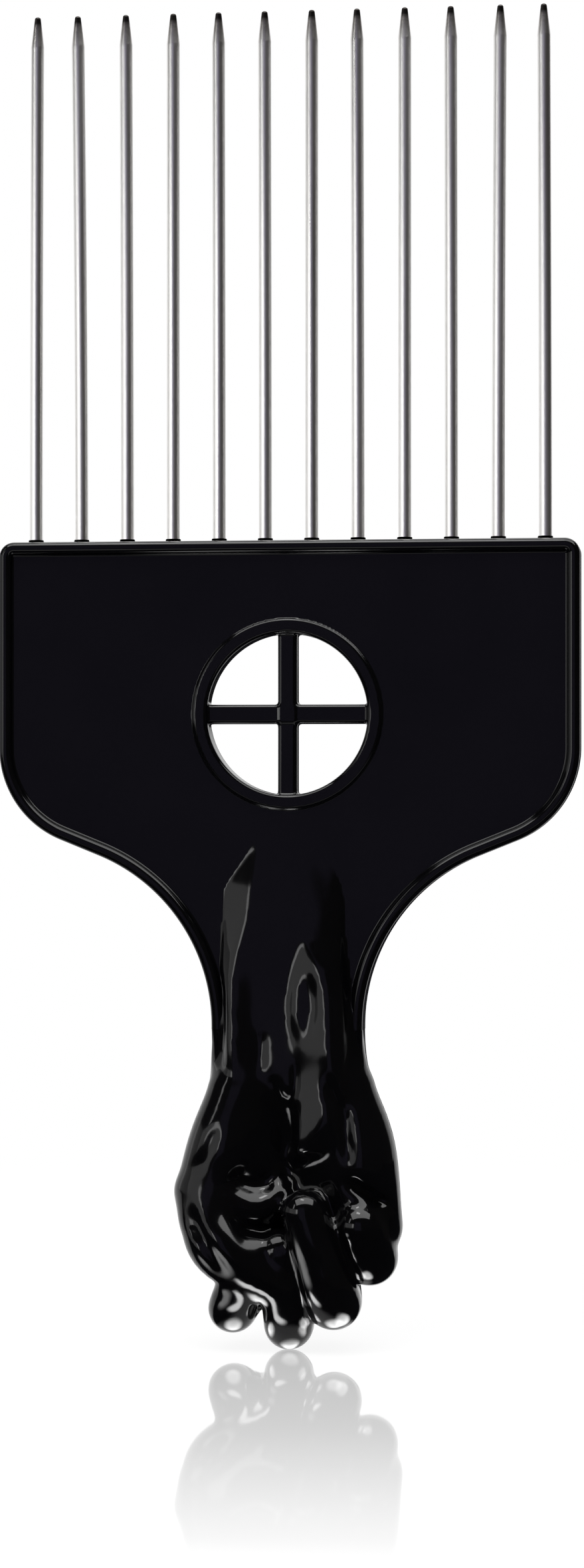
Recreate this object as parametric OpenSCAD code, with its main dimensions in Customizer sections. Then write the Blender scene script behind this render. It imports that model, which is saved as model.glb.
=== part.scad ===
// Afro pick with twelve steel tines, moulded into a one-piece handle that
// ends in a closed fist. It stands upright: X across the plate, Y through
// its thickness with the palm side at -Y, Z up, and the origin under the
// middle of the lowest knuckle.

/* [Plate] */
// Width of the plate across its straight sides
plate_w = 72; // [70:0.5:80]
// Height of the plate's top edge above the lowest knuckle
handle_h = 99.5; // [97:0.5:104]
// Thickness of the recessed panel
panel_t = 3.2; // [2.6:0.1:4.4]
// Radius of the shoulders, where the straight sides turn in
shoulder_r = 12.3; // [10:0.1:14]
// Drop from the top edge to the centres of the shoulders
shoulder_drop = 25.5; // [23:0.5:27]
// Slope of the short straight stretch between shoulder and neck, in degrees
neck_slope = 22; // [20:1:28]

/* [Rim] */
// Width of the raised rim
rim_w = 1.55; // [1.4:0.05:2]
// Thickness of the handle at the rim
rim_t = 5; // [4.5:0.1:6]
// Rounding of the rim's edges
rim_edge_r = 0.6; // [0.3:0.05:0.65]
// Inner radius of the rim at the top corners
rim_corner_r = 0.2; // [0.1:0.05:1.5]
// Length over which the rim runs out into the wrist
rim_runout = 5; // [4:0.5:6]
// Angle at which the rim runs out, in degrees
rim_runout_tilt = 15; // [12:1:20]

/* [Window] */
// Diameter of the round window
window_d = 19.9; // [17:0.1:22]
// Drop from the top edge to the window's centre
window_drop = 21.4; // [20.5:0.1:24]
// Width of the raised ring round the window
ring_w = 1.9; // [1.5:0.1:2.4]
// Thickness of the handle at the ring
ring_t = 3.9; // [3.5:0.1:4.8]
// Rounding of the ring's edges
ring_edge_r = 0.5; // [0.3:0.05:0.7]
// Width of the two window bars
bar_w = 2.4; // [1.8:0.1:3]
// Thickness of the window bars
bar_t = 2.7; // [2.2:0.1:3.4]
// Rounding of the bars' edges
bar_edge_r = 0.5; // [0.3:0.05:0.7]

/* [Tines] */
// Diameter of a tine
tine_d = 1.6; // [1.3:0.05:1.9]
// Distance from either side of the plate to the axis of its outermost tine
tine_margin = 4.32; // [3.8:0.02:5]
// Length of a tine above the plate
tine_reach = 65.5; // [55:0.5:75]
// Depth to which a tine is moulded into the plate
tine_set = 8; // [6:0.5:8.5]
// Length of the ground taper at the tip
taper_len = 4; // [3:0.1:6]
// Radius of the blunt point
tip_r = 0.2; // [0.15:0.01:0.3]
// Width of the anchoring groove round the moulded-in end
groove_w = 1.2; // [0.8:0.1:1.8]
// Depth of the anchoring groove
groove_depth = 0.2; // [0.1:0.05:0.3]
// Distance of the groove from the buried end
groove_rise = 1.4; // [1:0.1:2.5]
// Height of the moulded collar at the root of a tine
collar_h = 0.35; // [0.2:0.05:0.6]
// Overhang of the collar's foot beyond the tine
collar_flare = 0.4; // [0.25:0.05:0.6]
// Overhang of the collar's lip beyond the tine
collar_lip = 0.12; // [0.05:0.01:0.2]

/* [Fist] */
// Width of the fist
fist_w = 28; // [26:0.5:30]
// Thickness of the fist
fist_t = 18; // [16:0.5:20]
// Width of the wrist at its narrowest
wrist_w = 18.7; // [18:0.1:19.5]
// Height of the narrowest point of the wrist above the lowest knuckle
wrist_z = 39.7; // [38:0.1:41]

/* [Hidden] */

// Number of tines
TINE_COUNT = 12;
// Overrun of every cut and overlap
overrun = 0.2;
// Depth by which an arc of rim stays inside the straight stretches beside it
rim_ease = 0.02;
// Facets of a round; any high count is a true circle
ROUND = 64;

// Heights of the shoulder centres, the window's centre and the tine ends
shoulder_z = handle_h - shoulder_drop;
window_z = handle_h - window_drop;
tine_z0 = handle_h - tine_set;
tine_z1 = handle_h + tine_reach;

// Distance between the axes of neighbouring tines
tine_pitch = (plate_w - 2 * tine_margin) / (TINE_COUNT - 1);

// Centre of the right shoulder, and where its arc ends
shoulder_x = plate_w / 2 - shoulder_r;
turn = [sin(neck_slope), -cos(neck_slope)];
shoulder_end = [shoulder_x, shoulder_z] + shoulder_r * turn;

// The neck arc meets the sloping stretch and stands upright at the wrist
neck_r = ((wrist_w / 2 - shoulder_end[0]) * turn[0]
        + (wrist_z - shoulder_end[1]) * turn[1]) / (1 - turn[0]);
neck_x = wrist_w / 2 + neck_r;
neck_start = [neck_x, wrist_z] - neck_r * turn;

// Outer radius of the plate's top corners
corner_r = rim_corner_r + rim_w;

// Limbs of the hand. Each is a blend radius, as a share of the fist's width,
// and a chain of [x, y, z, radius], as shares of the fist's width, its
// thickness, the wrist's height and the fist's width.
arm_left_shares = [0.08, [[-0.17, 0, 0.9, 0.162], [-0.17, 0, 1.08, 0.15],
    [-0.155, 0, 1.28, 0.115], [-0.12, 0, 1.64, 0.046]]];
arm_right_shares = [0.08, [[0.172, 0, 0.9, 0.162], [0.172, 0, 1.08, 0.15],
    [0.145, 0, 1.25, 0.115], [0.08, 0, 1.56, 0.046]]];
arm_core_shares = [0.08, [[0, 0, 0.9, 0.17], [0, 0, 1.1, 0.14],
    [0, 0, 1.3, 0.09], [0, 0, 1.66, 0.04]]];
palm_left_shares = [0.08, [[-0.14, 0.04, 0.8, 0.165], [-0.17, 0.08, 0.36, 0.18]]];
palm_right_shares = [0.08, [[0.145, 0.04, 0.8, 0.165], [0.185, 0.08, 0.46, 0.18]]];
thumb_base_shares = [0.08, [[-0.23, -0.08, 0.78, 0.125], [-0.28, -0.12, 0.64, 0.152],
    [-0.34, -0.1, 0.49, 0.15]]];
heel_shares = [0.08, [[0.247, -0.04, 0.79, 0.142], [0.308, -0.08, 0.62, 0.17],
    [0.348, -0.05, 0.385, 0.16]]];
index_shares = [0.025, [[-0.215, 0.25, 0.18, 0.118], [-0.236, -0.14, 0.13, 0.107],
    [-0.15, -0.23, 0.3, 0.1]]];
middle_shares = [0.025, [[-0.02, 0.28, 0.135, 0.114], [0.012, -0.16, 0.077, 0.109],
    [0.05, -0.25, 0.32, 0.1]]];
ring_shares = [0.025, [[0.185, 0.26, 0.19, 0.116], [0.21, -0.14, 0.159, 0.125],
    [0.092, -0.27, 0.435, 0.102]]];
little_shares = [0.025, [[0.345, 0.2, 0.315, 0.115], [0.366, -0.12, 0.292, 0.124],
    [0.3, -0.25, 0.4, 0.105]]];
thumb_shares = [0.025, [[-0.358, -0.12, 0.485, 0.135], [-0.33, -0.2, 0.39, 0.132],
    [-0.255, -0.285, 0.305, 0.132], [0.02, -0.34, 0.213, 0.095]]];
bone_1_shares = [0.05, [[-0.09, 0.2, 0.88, 0.085], [-0.205, 0.29, 0.19, 0.108]]];
bone_2_shares = [0.05, [[-0.03, 0.21, 0.88, 0.085], [-0.02, 0.31, 0.155, 0.112]]];
bone_3_shares = [0.05, [[0.035, 0.21, 0.88, 0.085], [0.165, 0.29, 0.205, 0.108]]];
bone_4_shares = [0.05, [[0.095, 0.2, 0.88, 0.08], [0.32, 0.22, 0.32, 0.103]]];
hand_shares = [
    arm_left_shares, arm_right_shares, arm_core_shares, palm_left_shares,
    palm_right_shares, thumb_base_shares, heel_shares, index_shares, middle_shares,
    ring_shares, little_shares, thumb_shares, bone_1_shares, bone_2_shares,
    bone_3_shares, bone_4_shares
];

// Rings of the hand's skin, from its root in the plate down to the fist's
// middle, and from there round to the lowest knuckle
hand_top_share = 1.62;
fist_middle_share = 0.39;
ARM_RINGS = 12;
PALM_RINGS = 25;
CAP_RINGS = 20;
RING_POINTS = 64;
// Steps in which a ray closes in on the skin
SKIN_STEPS = 8;

// A limb as [blend, segments, lowest, highest], in real sizes, where a segment
// is [start, run, squared length of the run, start radius, growth of the radius]
function place(s) = [s[0] * fist_w, s[1] * fist_t, s[2] * wrist_z];
function segment(a, b) =
    let (start = place(a), run = place(b) - start)
    [start, run, run * run, a[3] * fist_w, (b[3] - a[3]) * fist_w];
function limb(shares) =
    let (blend = shares[0] * fist_w, chain = shares[1], last = len(chain) - 1)
    [
        blend,
        [for (i = [0:last - 1]) segment(chain[i], chain[i + 1])],
        min([for (s = chain) s[2] * wrist_z - s[3] * fist_w]) - blend,
        max([for (s = chain) s[2] * wrist_z + s[3] * fist_w]) + blend
    ];

// Distance from a point to a segment, a limb and the blended skin
function segment_gap(p, s) =
    let (along = max(0, min(1, (p - s[0]) * s[1] / s[2])))
    norm(p - s[0] - along * s[1]) - s[3] - s[4] * along;
function limb_gap(p, segments) = min([for (s = segments) segment_gap(p, s)]);
function soft_min(a, b, blend) =
    let (near = max(blend - abs(a - b), 0))
    min(a, b) - near * near / (4 * blend);
function skin_gap(p, limbs, i, gap) =
    i == len(limbs)
        ? gap
        : skin_gap(p, limbs, i + 1, soft_min(gap, limb_gap(p, limbs[i][1]), limbs[i][0]));

// How far out along a ray the skin lies, closing in from outside
function reach(from, ray, out, steps, limbs) =
    steps == 0
        ? out
        : reach(from, ray, out - skin_gap(from + out * ray, limbs, 0, fist_w), steps - 1, limbs);
function skin_point(from, ray, limbs) = from + reach(from, ray, fist_w, SKIN_STEPS, limbs) * ray;
function skin_ring(from, tilt, limbs) =
    [for (j = [0:RING_POINTS - 1])
        let (round = 360 * j / RING_POINTS)
        skin_point(from, [cos(round) * cos(tilt), sin(round) * cos(tilt), -sin(tilt)], limbs)];
function limbs_at(z, limbs) = [for (l = limbs) if (l[2] < z && z < l[3]) l];

// Fist, wrist and forearm: one closed skin whose top end lies inside the plate
module hand() {
    limbs = [for (s = hand_shares) limb(s)];
    top = hand_top_share * wrist_z;
    middle = fist_middle_share * wrist_z;
    low_limbs = [for (l = limbs) if (l[2] < middle) l];
    heights = concat(
        [for (i = [0:ARM_RINGS - 1]) top + (wrist_z - top) * i / ARM_RINGS],
        [for (i = [0:PALM_RINGS - 1]) wrist_z + (middle - wrist_z) * i / PALM_RINGS]
    );
    rings = concat(
        [for (z = heights) skin_ring([0, 0, z], 0, limbs_at(z, limbs))],
        [for (i = [0:CAP_RINGS - 1]) skin_ring([0, 0, middle], 90 * i / CAP_RINGS, low_limbs)]
    );
    count = len(rings);
    bottom = skin_point([0, 0, middle], [0, 0, -1], low_limbs);
    points = concat([for (r = rings) each r], [bottom, [0, 0, top]]);
    lowest = count * RING_POINTS;
    sides = [
        for (i = [0:count - 2], j = [0:RING_POINTS - 1])
        let (a = i * RING_POINTS + j, b = i * RING_POINTS + (j + 1) % RING_POINTS)
        each [[a, b, b + RING_POINTS], [a, b + RING_POINTS, a + RING_POINTS]]
    ];
    cap = [
        for (j = [0:RING_POINTS - 1])
        let (a = (count - 1) * RING_POINTS + j, b = (count - 1) * RING_POINTS + (j + 1) % RING_POINTS)
        [a, b, lowest]
    ];
    lid = [for (j = [0:RING_POINTS - 1]) [(j + 1) % RING_POINTS, j, lowest + 1]];
    polyhedron(points, concat(sides, cap, lid));
}

// A section with rounded corners, across by deep, centred on the origin
module rounded_section(across, deep, r) {
    for (x = [-1, 1], y = [-1, 1])
        translate([x * (across / 2 - r), y * (deep / 2 - r)])
            circle(r, $fn = ROUND);
    square([across, deep - 2 * r], center = true);
    square([across - 2 * r, deep], center = true);
}

module rim_section(ease) {
    rounded_section(rim_w - 2 * ease, rim_t - 2 * ease, rim_edge_r);
}

// Half of the plate's face in the drawing plane, set in from the outline
module half_face(inset) {
    side = plate_w / 2 - inset;
    arc_end = shoulder_end - inset * turn;
    neck_end = neck_start - inset * turn;
    top = handle_h - inset;
    inner_corner = corner_r - inset;
    translate([side - inner_corner, top - inner_corner])
        circle(inner_corner, $fn = ROUND);
    polygon([
        [0, shoulder_z],
        [side, shoulder_z],
        [side, top - inner_corner],
        [side - inner_corner, top - inner_corner],
        [side - inner_corner, top],
        [0, top]
    ]);
    translate([shoulder_x, shoulder_z])
        circle(shoulder_r - inset, $fn = ROUND);
    difference() {
        polygon([
            [0, wrist_z],
            [neck_x, wrist_z],
            neck_end,
            arc_end,
            [shoulder_x, shoulder_z],
            [0, shoulder_z]
        ]);
        translate([neck_x, wrist_z])
            circle(neck_r + inset, $fn = ROUND);
    }
}

// Turns a drawing in X and Y upright, centred on the handle's mid-plane
module upright(thick) {
    rotate([90, 0, 0])
        linear_extrude(thick, center = true)
            children();
}

module panel() {
    upright(panel_t)
        difference() {
            union() {
                half_face(rim_w / 2);
                mirror([1, 0])
                    half_face(rim_w / 2);
            }
            translate([0, window_z])
                circle(window_d / 2 + ring_w / 2, $fn = ROUND);
        }
}

// A straight stretch of rim whose centre line runs from one point to another
module rim_run(from, to) {
    run = to - from;
    translate([from[0], 0, from[1]])
        rotate([0, atan2(run[0], run[1]), 0])
            linear_extrude(norm(run))
                rim_section(0);
}

// An arc of rim about a centre, with its centre line at radius r. It enters
// the straight stretches at both of its ends, and is a hair slimmer than they.
module rim_arc(centre, r, start, sweep) {
    entry = overrun / r * 180 / PI;
    translate([centre[0], 0, centre[1]])
        rotate([90, 0, 0])
            rotate([0, 0, start - entry])
                rotate_extrude(angle = sweep + 2 * entry, $fn = ROUND)
                    translate([r, 0])
                        rim_section(rim_ease);
}

module half_rim() {
    mid = rim_w / 2;
    side = plate_w / 2 - mid;
    corner = [plate_w / 2 - corner_r, handle_h - corner_r];
    runout = rim_runout * [-sin(rim_runout_tilt), -cos(rim_runout_tilt)];
    wrist_end = [wrist_w / 2 - mid, wrist_z];
    rim_run([0, handle_h - mid], [corner[0], handle_h - mid]);
    rim_arc(corner, corner_r - mid, 0, 90);
    rim_run([side, shoulder_z], [side, corner[1]]);
    rim_arc([shoulder_x, shoulder_z], shoulder_r - mid, neck_slope - 90, 90 - neck_slope);
    rim_run(neck_start - mid * turn, shoulder_end - mid * turn);
    rim_arc([neck_x, wrist_z], neck_r + mid, 90 + neck_slope, 90 - neck_slope);
    rim_run(wrist_end + runout, wrist_end + rim_edge_r * [0, 1]);
}

// The raised ring round the window
module window_ring() {
    translate([0, 0, window_z])
        rotate([90, 0, 0])
            rotate_extrude($fn = ROUND)
                translate([window_d / 2 + ring_w / 2, 0])
                    rounded_section(ring_w, ring_t, ring_edge_r);
}

// One of the two crossed bars, which ends in the middle of the ring
module window_bar(turned) {
    length = window_d + ring_w;
    translate([0, 0, window_z])
        rotate([0, turned, 0])
            translate([0, 0, -length / 2])
                linear_extrude(length)
                    rounded_section(bar_w, bar_t, bar_edge_r);
}

function tine_x(i) = (i - (TINE_COUNT - 1) / 2) * tine_pitch;

// Half profile of the buried end, with its groove; the seat has the same form
module shank_profile() {
    r = tine_d / 2;
    groove_z = tine_z0 + groove_rise;
    polygon([
        [0, tine_z0],
        [r, tine_z0],
        [r, groove_z],
        [r - groove_depth, groove_z],
        [r - groove_depth, groove_z + groove_w],
        [r, groove_z + groove_w],
        [r, handle_h],
        [0, handle_h]
    ]);
}

module tine(i) {
    r = tine_d / 2;
    tip_z = tine_z1 - tip_r;
    color("lightgray")
        translate([tine_x(i), 0, 0])
            rotate_extrude($fn = ROUND) {
                shank_profile();
                polygon([
                    [0, handle_h],
                    [r, handle_h],
                    [r, tine_z1 - taper_len],
                    [tip_r, tip_z],
                    [0, tip_z]
                ]);
                intersection() {
                    translate([0, tip_z])
                        circle(tip_r, $fn = ROUND);
                    translate([0, tip_z - tip_r])
                        square([tip_r, 2 * tip_r]);
                }
            }
}

// Moulded collar where a tine leaves the top edge
module collar(i) {
    translate([tine_x(i), 0, handle_h - overrun])
        cylinder(
            h = collar_h + overrun,
            r1 = tine_d / 2 + collar_flare,
            r2 = tine_d / 2 + collar_lip,
            $fn = ROUND
        );
}

module tine_seat(i) {
    translate([tine_x(i), 0, 0]) {
        rotate_extrude($fn = ROUND)
            shank_profile();
        translate([0, 0, handle_h - overrun])
            cylinder(h = collar_h + 2 * overrun, d = tine_d, $fn = ROUND);
    }
}

module handle() {
    color("black")
        difference() {
            union() {
                panel();
                half_rim();
                mirror([1, 0, 0])
                    half_rim();
                window_ring();
                window_bar(0);
                window_bar(90);
                hand();
                for (i = [0:TINE_COUNT - 1])
                    collar(i);
            }
            for (i = [0:TINE_COUNT - 1])
                tine_seat(i);
        }
}

handle();
for (i = [0:TINE_COUNT - 1])
    tine(i);
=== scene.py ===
import math

import bpy
import numpy as np
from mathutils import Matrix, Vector, geometry


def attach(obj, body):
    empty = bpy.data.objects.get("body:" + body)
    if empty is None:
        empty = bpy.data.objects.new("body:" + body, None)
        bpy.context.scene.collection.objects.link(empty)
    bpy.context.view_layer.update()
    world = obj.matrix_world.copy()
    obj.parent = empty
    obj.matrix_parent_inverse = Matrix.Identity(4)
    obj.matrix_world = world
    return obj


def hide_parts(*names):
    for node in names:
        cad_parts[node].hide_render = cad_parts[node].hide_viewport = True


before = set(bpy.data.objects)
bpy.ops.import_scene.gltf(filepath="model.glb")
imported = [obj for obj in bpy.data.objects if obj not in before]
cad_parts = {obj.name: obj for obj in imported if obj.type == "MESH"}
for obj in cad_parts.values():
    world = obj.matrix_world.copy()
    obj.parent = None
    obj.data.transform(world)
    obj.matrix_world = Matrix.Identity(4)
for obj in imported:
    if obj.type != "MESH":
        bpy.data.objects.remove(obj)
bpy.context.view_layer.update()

# Sizes in mm, as in the part's source.
MM = 0.001
PLATE_W, HANDLE_H = 72.0, 99.5
PANEL_Y = 1.6
SHOULDER_R, SHOULDER_DROP, NECK_SLOPE = 12.3, 25.5, math.radians(22)
RIM_W, RIM_Y, RIM_ROUND, RIM_FOOT = 1.55, 2.5, 0.7, 0.3
CORNER_R = 1.9
# The swept rim ends a lap below the wrist. The hand's skin carries it on to the
# end of the runout, where it has sunk by so much on each face.
RIM_LAP, RUNOUT, RUNOUT_SINK = 0.4, 7.0, 1.5
WINDOW_R, WINDOW_Z, RING_W, RING_Y = 9.95, 78.1, 1.9, 1.95
BAR_HALF, BAR_Y, SMALL_ROUND = 1.2, 1.35, 0.5
# Radii of the hollow fillets round the bars and at the ring's foot
BAR_FILLET, RING_FOOT = 0.35, 0.15
FIST_W, FIST_T, WRIST_W, WRIST_Z = 28.0, 18.0, 18.7, 39.7
TINE_R, TINE_MARGIN, TINE_REACH, TAPER, TIP_R = 0.8, 4.32, 65.5, 3.8, 0.3
TINES = 12
TIP_Z = HANDLE_H + TINE_REACH
COLLAR_H, COLLAR_FLARE, COLLAR_LIP = 0.35, 0.4, 0.12
# How far a collar's foot spreads and dips under the top edge, how far its waist
# stands out and up, and the radii of the waist and the lip
FOOT_SPREAD, FOOT_DIP, WAIST_OUT, WAIST_UP = 0.25, 0.06, 0.04, 0.02
WAIST_ROUND, LIP_ROUND = 0.22, 0.05
# How far the modelled skins dip under the plain plate where they leave it, and
# the height over which their normals turn to the plate's
SINK, EASE = 0.015, 0.06

SHOULDER_C = np.array([PLATE_W / 2 - SHOULDER_R, HANDLE_H - SHOULDER_DROP])
TURN = np.array([math.sin(NECK_SLOPE), -math.cos(NECK_SLOPE)])
SHOULDER_END = SHOULDER_C + SHOULDER_R * TURN
NECK_R = ((WRIST_W / 2 - SHOULDER_END[0]) * TURN[0]
          + (WRIST_Z - SHOULDER_END[1]) * TURN[1]) / (1 - TURN[0])
NECK_C = np.array([WRIST_W / 2 + NECK_R, WRIST_Z])
SHEET_END = WRIST_Z - RIM_LAP
# Points along the arcs of the neck, the shoulder and the top corner, and sides
# of the panel's hole, which lies hidden under the window's ring
NECK_STEPS, SHOULDER_STEPS, CORNER_STEPS, HOLE_TURNS = 46, 40, 13, 96
# The hollow at the rim's foot, a little smaller than the strip that it lies in
RIM_HOLLOW = RIM_FOOT * 0.98
# The boxes that hold the skins of the hand and the window, their cells, and the
# rounds of polish for the hand
HAND_BOX = (-16, -10.5, -1.5), (16, 10.5, 67.5)
WINDOW_BOX = (-12.8, -2.6, WINDOW_Z - 12.8), (12.8, 2.6, WINDOW_Z + 12.8)
HAND_CELL, WINDOW_CELL, POLISH = ((0.3, 0.25, 8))
# The fillet between hand and plate: its radius at the sides, what it gains on the
# faces between two depths, and what it gains over a length below the rim's end
FILLET, FACE_FILLET, FACE_FROM, FACE_RUN, END_FILLET, END_RUN = 0.1, 0.3, 1, 1.5, 0.7, 3

# The hand's limbs: a blend, and a chain of x, y, z, radius, as shares of the
# fist's width, its thickness, the wrist's height and the fist's width.
LIMBS = {
    "arm_left": (0.08, [(-0.195, 0.02, 0.9, 0.137), (-0.198, 0.03, 1.0, 0.134),
                        (-0.2, 0.03, 1.08, 0.112), (-0.18, 0.02, 1.28, 0.085),
                        (-0.12, 0, 1.64, 0.046)]),
    "arm_right": (0.08, [(0.18, 0.01, 0.9, 0.152), (0.182, 0.02, 1.0, 0.146),
                         (0.185, 0.02, 1.08, 0.127), (0.15, 0.01, 1.25, 0.1),
                         (0.08, 0, 1.56, 0.046)]),
    "arm_core": (0.08, [(0, 0, 0.9, 0.14), (0, 0, 1.1, 0.1),
                        (0, 0, 1.3, 0.06), (0, 0, 1.66, 0.03)]),
    "web": (0.1, [(-0.24, -0.16, 0.48, 0.09), (-0.15, -0.15, 0.455, 0.095),
                  (-0.05, -0.12, 0.47, 0.085)]),
    "palm_left": (0.08, [(-0.14, 0.04, 0.8, 0.165), (-0.17, 0.08, 0.36, 0.18)]),
    "palm_right": (0.08, [(0.145, 0.04, 0.8, 0.165), (0.185, 0.08, 0.46, 0.18)]),
    "thumb_base": (0.08, [(-0.23, -0.08, 0.78, 0.125), (-0.28, -0.12, 0.64, 0.152),
                          (-0.34, -0.1, 0.49, 0.15)]),
    "heel": (0.08, [(0.247, -0.04, 0.79, 0.142), (0.308, -0.08, 0.62, 0.17),
                    (0.348, -0.05, 0.385, 0.16)]),
    "index": (0.025, [(-0.215, 0.25, 0.18, 0.118), (-0.236, -0.14, 0.13, 0.107),
                      (-0.15, -0.23, 0.3, 0.1)]),
    "middle": (0.025, [(-0.02, 0.28, 0.135, 0.114), (0.012, -0.16, 0.086, 0.108),
                       (-0.02, -0.22, 0.31, 0.1)]),
    "ring": (0.025, [(0.185, 0.26, 0.19, 0.116), (0.21, -0.2, 0.159, 0.124),
                     (0.15, -0.28, 0.3, 0.115), (0.092, -0.305, 0.435, 0.102)]),
    "little": (0.025, [(0.345, 0.2, 0.315, 0.115), (0.366, -0.12, 0.292, 0.124),
                       (0.335, -0.25, 0.39, 0.108)]),
    "thumb": (0.025, [(-0.358, -0.12, 0.485, 0.135), (-0.33, -0.2, 0.39, 0.132),
                      (-0.255, -0.255, 0.305, 0.132), (-0.02, -0.25, 0.192, 0.086)]),
    "bone_1": (0.05, [(-0.05, 0.0, 1.2, 0.04), (-0.09, 0.17, 0.88, 0.08),
                      (-0.205, 0.29, 0.19, 0.108)]),
    "bone_2": (0.05, [(-0.01, 0.0, 1.2, 0.04), (-0.03, 0.18, 0.88, 0.08),
                      (-0.02, 0.3, 0.158, 0.111)]),
    "bone_3": (0.05, [(0.02, 0.0, 1.2, 0.04), (0.035, 0.18, 0.88, 0.08),
                      (0.165, 0.29, 0.205, 0.108)]),
    "bone_4": (0.05, [(0.06, 0.0, 1.2, 0.04), (0.095, 0.17, 0.88, 0.08),
                      (0.32, 0.22, 0.32, 0.103)]),
}
# How much wider than its radius a blend reaches, and how far from a limb its gap
# still matters, in mm
BLEND_REACH, LIMB_MARGIN = 1.5, 2.5
# The forearm's relief: at each height in mm, points across it as X and the rise
# above the panel; rises of -3 end it. Two tendons with flat left flanks rise
# towards the wrist.
RELIEF = [
    (64.5, [(-8.6, -3), (-3.9, -0.3), (-3.7, -0.3), (-3.5, -0.3), (-3, -0.3),
            (1, -0.3), (3, -0.3), (5, -0.3), (9, -3)]),
    (62.4, [(-8.6, -3), (-3.9, 0), (-3.7, 0.05), (-3.5, 0.05), (-3, 0.05),
            (1, 0), (3, -0.1), (5, -0.2), (9, -3)]),
    (57, [(-8.7, -3), (-8.0, -0.05), (-4.4, 1.1), (-4, 1.1), (-3, 1.05),
          (1, 0.85), (4, 0.5), (6.5, 0.2), (9.5, -3)]),
    (53, [(-8.8, -3), (-8.0, 0.2), (-4.9, 1.55), (-4.5, 1.55), (-3.5, 1.5),
          (1, 1.4), (4.5, 1.1), (6.6, 0.75), (9.2, -3)]),
    (50.6, [(-8.8, -3), (-8.1, 0.4), (-5.7, 1.6), (-5.1, 1.6), (-3.7, 1.6),
            (1.9, 1.5), (2.3, 1.6), (6.5, 1.0), (9, -3)]),
    (47, [(-8.9, -3), (-8.4, 0.6), (-6.7, 1.9), (-6.3, 1.95), (-3.9, 1.7),
          (0.6, 1.55), (4.3, 2.85), (6.4, 2.4), (9, -3)]),
    (44, [(-8.8, -3), (-7.6, 1.4), (-7.1, 2.1), (-6.6, 2.2), (-3.8, 1.7),
          (0.4, 1.65), (5.2, 3.35), (6.9, 2.8), (9, -3)]),
    (40, [(-8.8, -3), (-7.5, 1.6), (-7.1, 2.3), (-6.6, 2.5), (-4.0, 2.0),
          (0.3, 2.0), (5.5, 3.85), (7.0, 3.25), (9.1, -3)]),
    (37, [(-9.0, -3), (-7.5, 1.8), (-7.1, 2.5), (-6.7, 2.8), (-4.2, 2.3),
          (0.4, 2.35), (5.7, 4.2), (7.1, 3.5), (9.3, -3)]),
    (35, [(-9.0, -3), (-7.6, 1.7), (-7.1, 2.6), (-6.8, 2.9), (-4.4, 2.4),
          (1.5, 2.75), (5.8, 4.4), (7.1, 3.7), (9.5, -3)]),
    (32, [(-9.5, -3), (-8, 1.7), (-7.2, 2.3), (-6.5, 2.4), (-2.0, 2.3),
          (1.8, 3.1), (5.8, 4.65), (7.4, 4.0), (9.8, -3)]),
    (29.5, [(-9.5, -3), (-8, 1), (-7.2, 1.5), (-6.5, 1.5), (0.8, 1.5),
            (1.9, 3.4), (5.7, 4.85), (7.6, 4.1), (10.2, -3)]),
    (26.8, [(-9.5, -3), (-8, 0), (-7.2, 0), (-6.5, 0), (0.7, 0.5),
            (1.7, 3.6), (4.1, 4.55), (7.8, 4.2), (10.4, -3)]),
    (24.6, [(-9.5, -3), (-8, 0), (-7.2, 0), (-6.5, 0), (0.7, 0),
            (1.5, 3.8), (2.0, 4.0), (7.8, 3.8), (10.4, -3)]),
    (22, [(-9.5, -3), (-8, -3), (-7.2, -3), (-6.5, -3), (-4.2, -3),
          (1.2, 0), (3.2, 0), (7.8, 0), (10.4, -3)]),
]
# The relief's box in X and Z, its cell, how far its edges are softened in X and
# Z, the width of its blend into the limbs, and what turns its rise into a gap
RELIEF_LO, RELIEF_HI, RELIEF_CELL = np.array([-11.0, 22.0]), np.array([11.0, 66.0]), 0.1
RELIEF_SOFT, RELIEF_BLEND, RELIEF_SLOPE = (0.22, 0.55), 0.8, 0.93
# A level oval in the right tendon's flank: its middle and half its size, X and Z
OVAL = (2.3, 42.4, 1.55, 4.1)
# Folds on the palm side: each line's points in X and Z, its width and its depth
# in mm. They keep a share of their depth at their ends, where they fade over a
# share of their length, and reach it all at some depth in Y.
MARK_END, MARK_FADE, MARK_Y = 0.15, 0.25, 2
MARKS = [
    ([(-7.9, 27.9), (-9.2, 24.6), (-10.6, 21.6)], 0.6, 0.5),
    ([(-11.4, 18.5), (-10.6, 15.8), (-8.8, 13.0), (-7.2, 10.6), (-5.9, 9.0)], 0.75, 0.8),
    ([(-7.3, 22.3), (-5.1, 20.5), (-3.4, 19.8), (-0.8, 21.0)], 1.5, 1.0),
    ([(7.4, 21.6), (9.9, 19.9), (12.9, 18.0)], 0.8, 1.4),
    ([(0.9, 28.5), (1.2, 25.5), (1.4, 22.9)], 0.45, 0.35),
    ([(5.5, 35), (6.1, 31.7), (7.4, 28.9), (8.2, 22.4)], 0.8, 1.0),
    ([(-2.3, 32.2), (-1.4, 33.2), (-0.5, 31.2), (0.4, 30.6), (1.3, 32.0), (1.5, 36.5)], 0.35, 0.5),
    ([(-3.2, 39.5), (-3.1, 36.6), (-3.3, 33.8)], 0.75, 0.42),
]


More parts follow.
